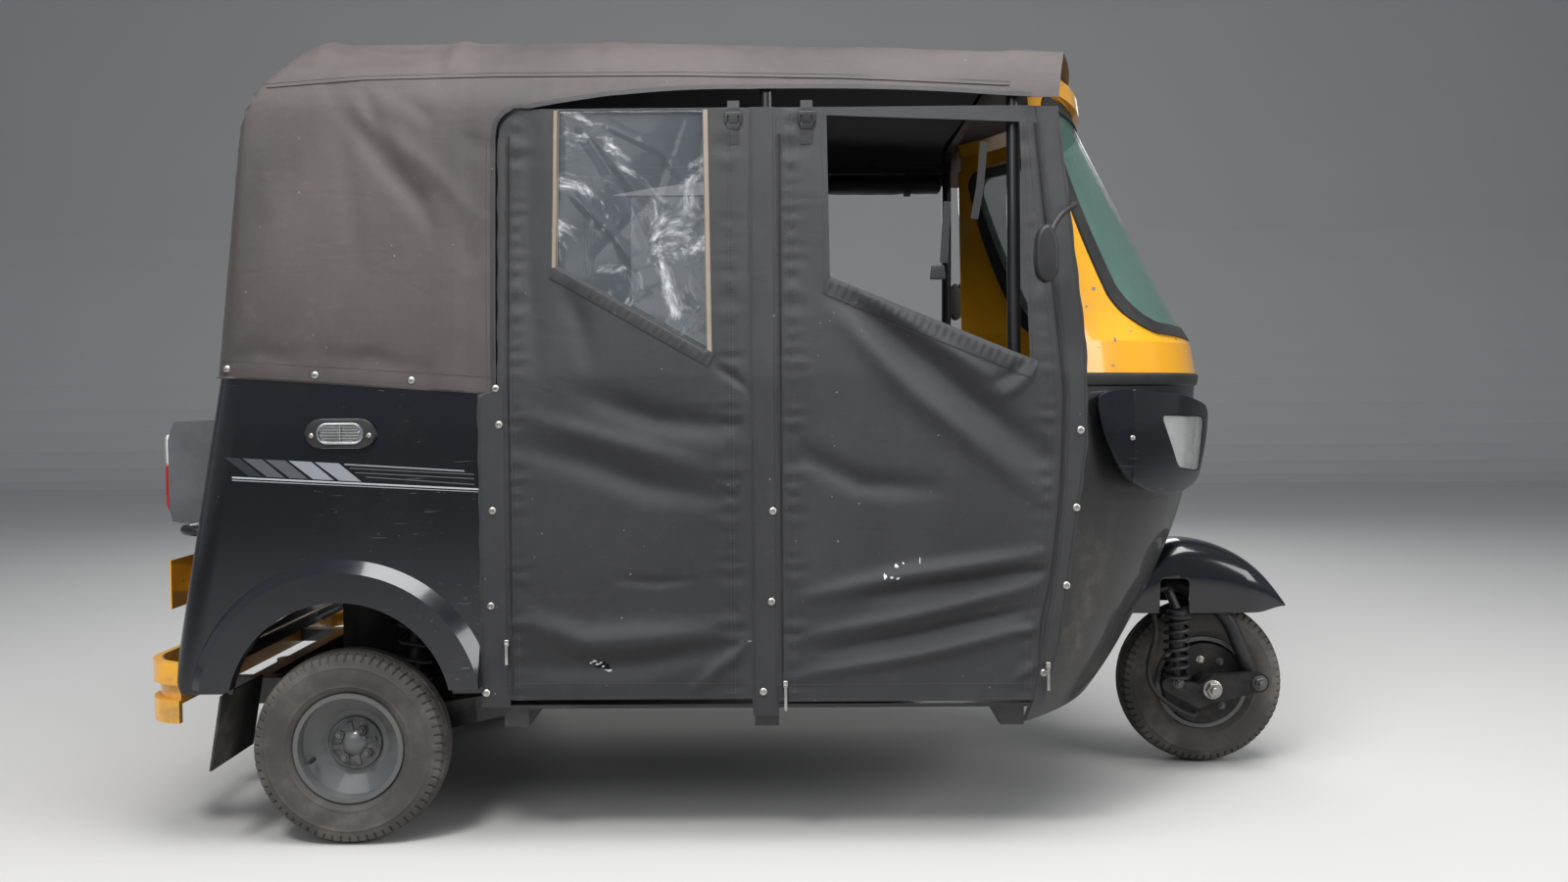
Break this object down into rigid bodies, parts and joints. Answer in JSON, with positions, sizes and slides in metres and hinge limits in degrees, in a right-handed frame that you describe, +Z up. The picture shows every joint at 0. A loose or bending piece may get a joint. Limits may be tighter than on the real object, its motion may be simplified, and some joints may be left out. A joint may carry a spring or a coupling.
{
  "type": "auto rickshaw",
  "caption": "Three-wheeled taxi with a steel body, canvas canopy and roll-up side curtains, steered by a handlebar on a single-sided front fork.",
  "frame": {"origin": "on the ground under the middle of the vehicle", "axes": "+X towards the front wheel, +Y to the left side, +Z up"},
  "size_m": [2.6472, 1.48, 1.74],
  "materials": {
    "black_paint": "gloss black paint, scratched and dusty",
    "yellow_paint": "warm yellow paint with chips",
    "canvas": "brown-grey coated canvas, faded",
    "curtain_cloth": "black coated cloth, dusty",
    "clear_vinyl": "clear vinyl, creased",
    "frame_paint": "satin black paint",
    "seat_vinyl": "black vinyl",
    "glass": "greenish laminated glass",
    "rubber": "black rubber",
    "tyre_rubber": "worn tyre rubber",
    "rim_silver": "silver paint, stained",
    "lamp_glass": "clear lamp glass",
    "lamp_red": "red lens",
    "black_plastic": "black moulded plastic",
    "chrome_trim": "dull chrome",
    "cast_metal": "dirty cast metal",
    "steel": "painted and worn steel",
    "spring_steel": "black coil spring"
  },
  "bodies": {
    "chassis": {"back_window_pane": "clear_vinyl", "bench_backrest": "seat_vinyl", "bench_cushion": "seat_vinyl", "body_side_left": "black_paint", "body_side_right": "black_paint", "canopy": "canvas", "chassis_frame": "frame_paint", "curtain_front_right": "curtain_cloth", "curtain_rear_left": "curtain_cloth", "curtain_rear_right": "curtain_cloth", "curtain_roll_left": "curtain_cloth", "curtain_windows": "clear_vinyl", "dashboard": "black_plastic", "door_posts_left": "frame_paint", "door_posts_right": "frame_paint", "drive_shafts": "cast_metal", "driver_backrest": "seat_vinyl", "driver_cushion": "seat_vinyl", "driver_seat_base": "frame_paint", "engine_block": "cast_metal", "engine_cover": "black_paint", "exhaust": "steel", "floor_pan": "frame_paint", "front_cowl": "yellow_paint", "front_shell": "black_paint", "front_wheel_well": "black_paint", "headlamp_housings": "black_paint", "headlamp_lenses": "lamp_glass", "headstock": "frame_paint", "mirrors": "black_plastic", "mud_flaps": "rubber", "post_strips": "curtain_cloth", "rear_bumper": "yellow_paint", "rear_dampers": "steel", "rear_panel": "black_paint", "rear_springs": "spring_steel", "roof_frame": "frame_paint", "side_vents": "chrome_trim", "tail_lamp_housings": "black_plastic", "tail_lamp_lenses": "lamp_red", "trailing_arms": "frame_paint", "windscreen": "glass", "windscreen_gasket": "rubber", "windscreen_visor": "yellow_paint"},
    "steering": {"front_fork": "steel", "front_fender": "black_paint", "front_swing_arm": "cast_metal", "front_damper": "steel", "front_spring": "spring_steel", "handlebar": "steel", "front_brake_cable": "rubber"},
    "front_wheel": {"front_tyre": "tyre_rubber", "front_rim": "rim_silver"},
    "rear_wheel_right": {"rear_tyre_right": "tyre_rubber", "rear_rim_right": "rim_silver"},
    "rear_wheel_left": {"rear_tyre_left": "tyre_rubber", "rear_rim_left": "rim_silver"},
    "tailgate": {"tailgate": "black_paint", "rear_rail": "frame_paint", "number_plate": "yellow_paint"}
  },
  "joints": [
    {"name": "steering_turn", "type": "hinge", "parent": "chassis", "child": "steering", "pos_m": [1.186, 0, 0], "axis": [-0.342, 0, 0.9397], "range_deg": [-35, 35]},
    {"name": "front_wheel_spin", "type": "hinge", "parent": "steering", "child": "front_wheel", "pos_m": [1.116, 0, 0.2075], "axis": [0, 1, 0], "continuous": true},
    {"name": "rear_wheel_right_spin", "type": "hinge", "parent": "chassis", "child": "rear_wheel_right", "pos_m": [-0.869, -0.575, 0.2075], "axis": [0, 1, 0], "continuous": true},
    {"name": "rear_wheel_left_spin", "type": "hinge", "parent": "chassis", "child": "rear_wheel_left", "pos_m": [-0.869, 0.575, 0.2075], "axis": [0, 1, 0], "continuous": true},
    {"name": "tailgate_swing", "type": "hinge", "parent": "chassis", "child": "tailgate", "pos_m": [-1.158, 0, 0.936], "axis": [0, 1, 0], "range_deg": [0, 75]}
  ]
}
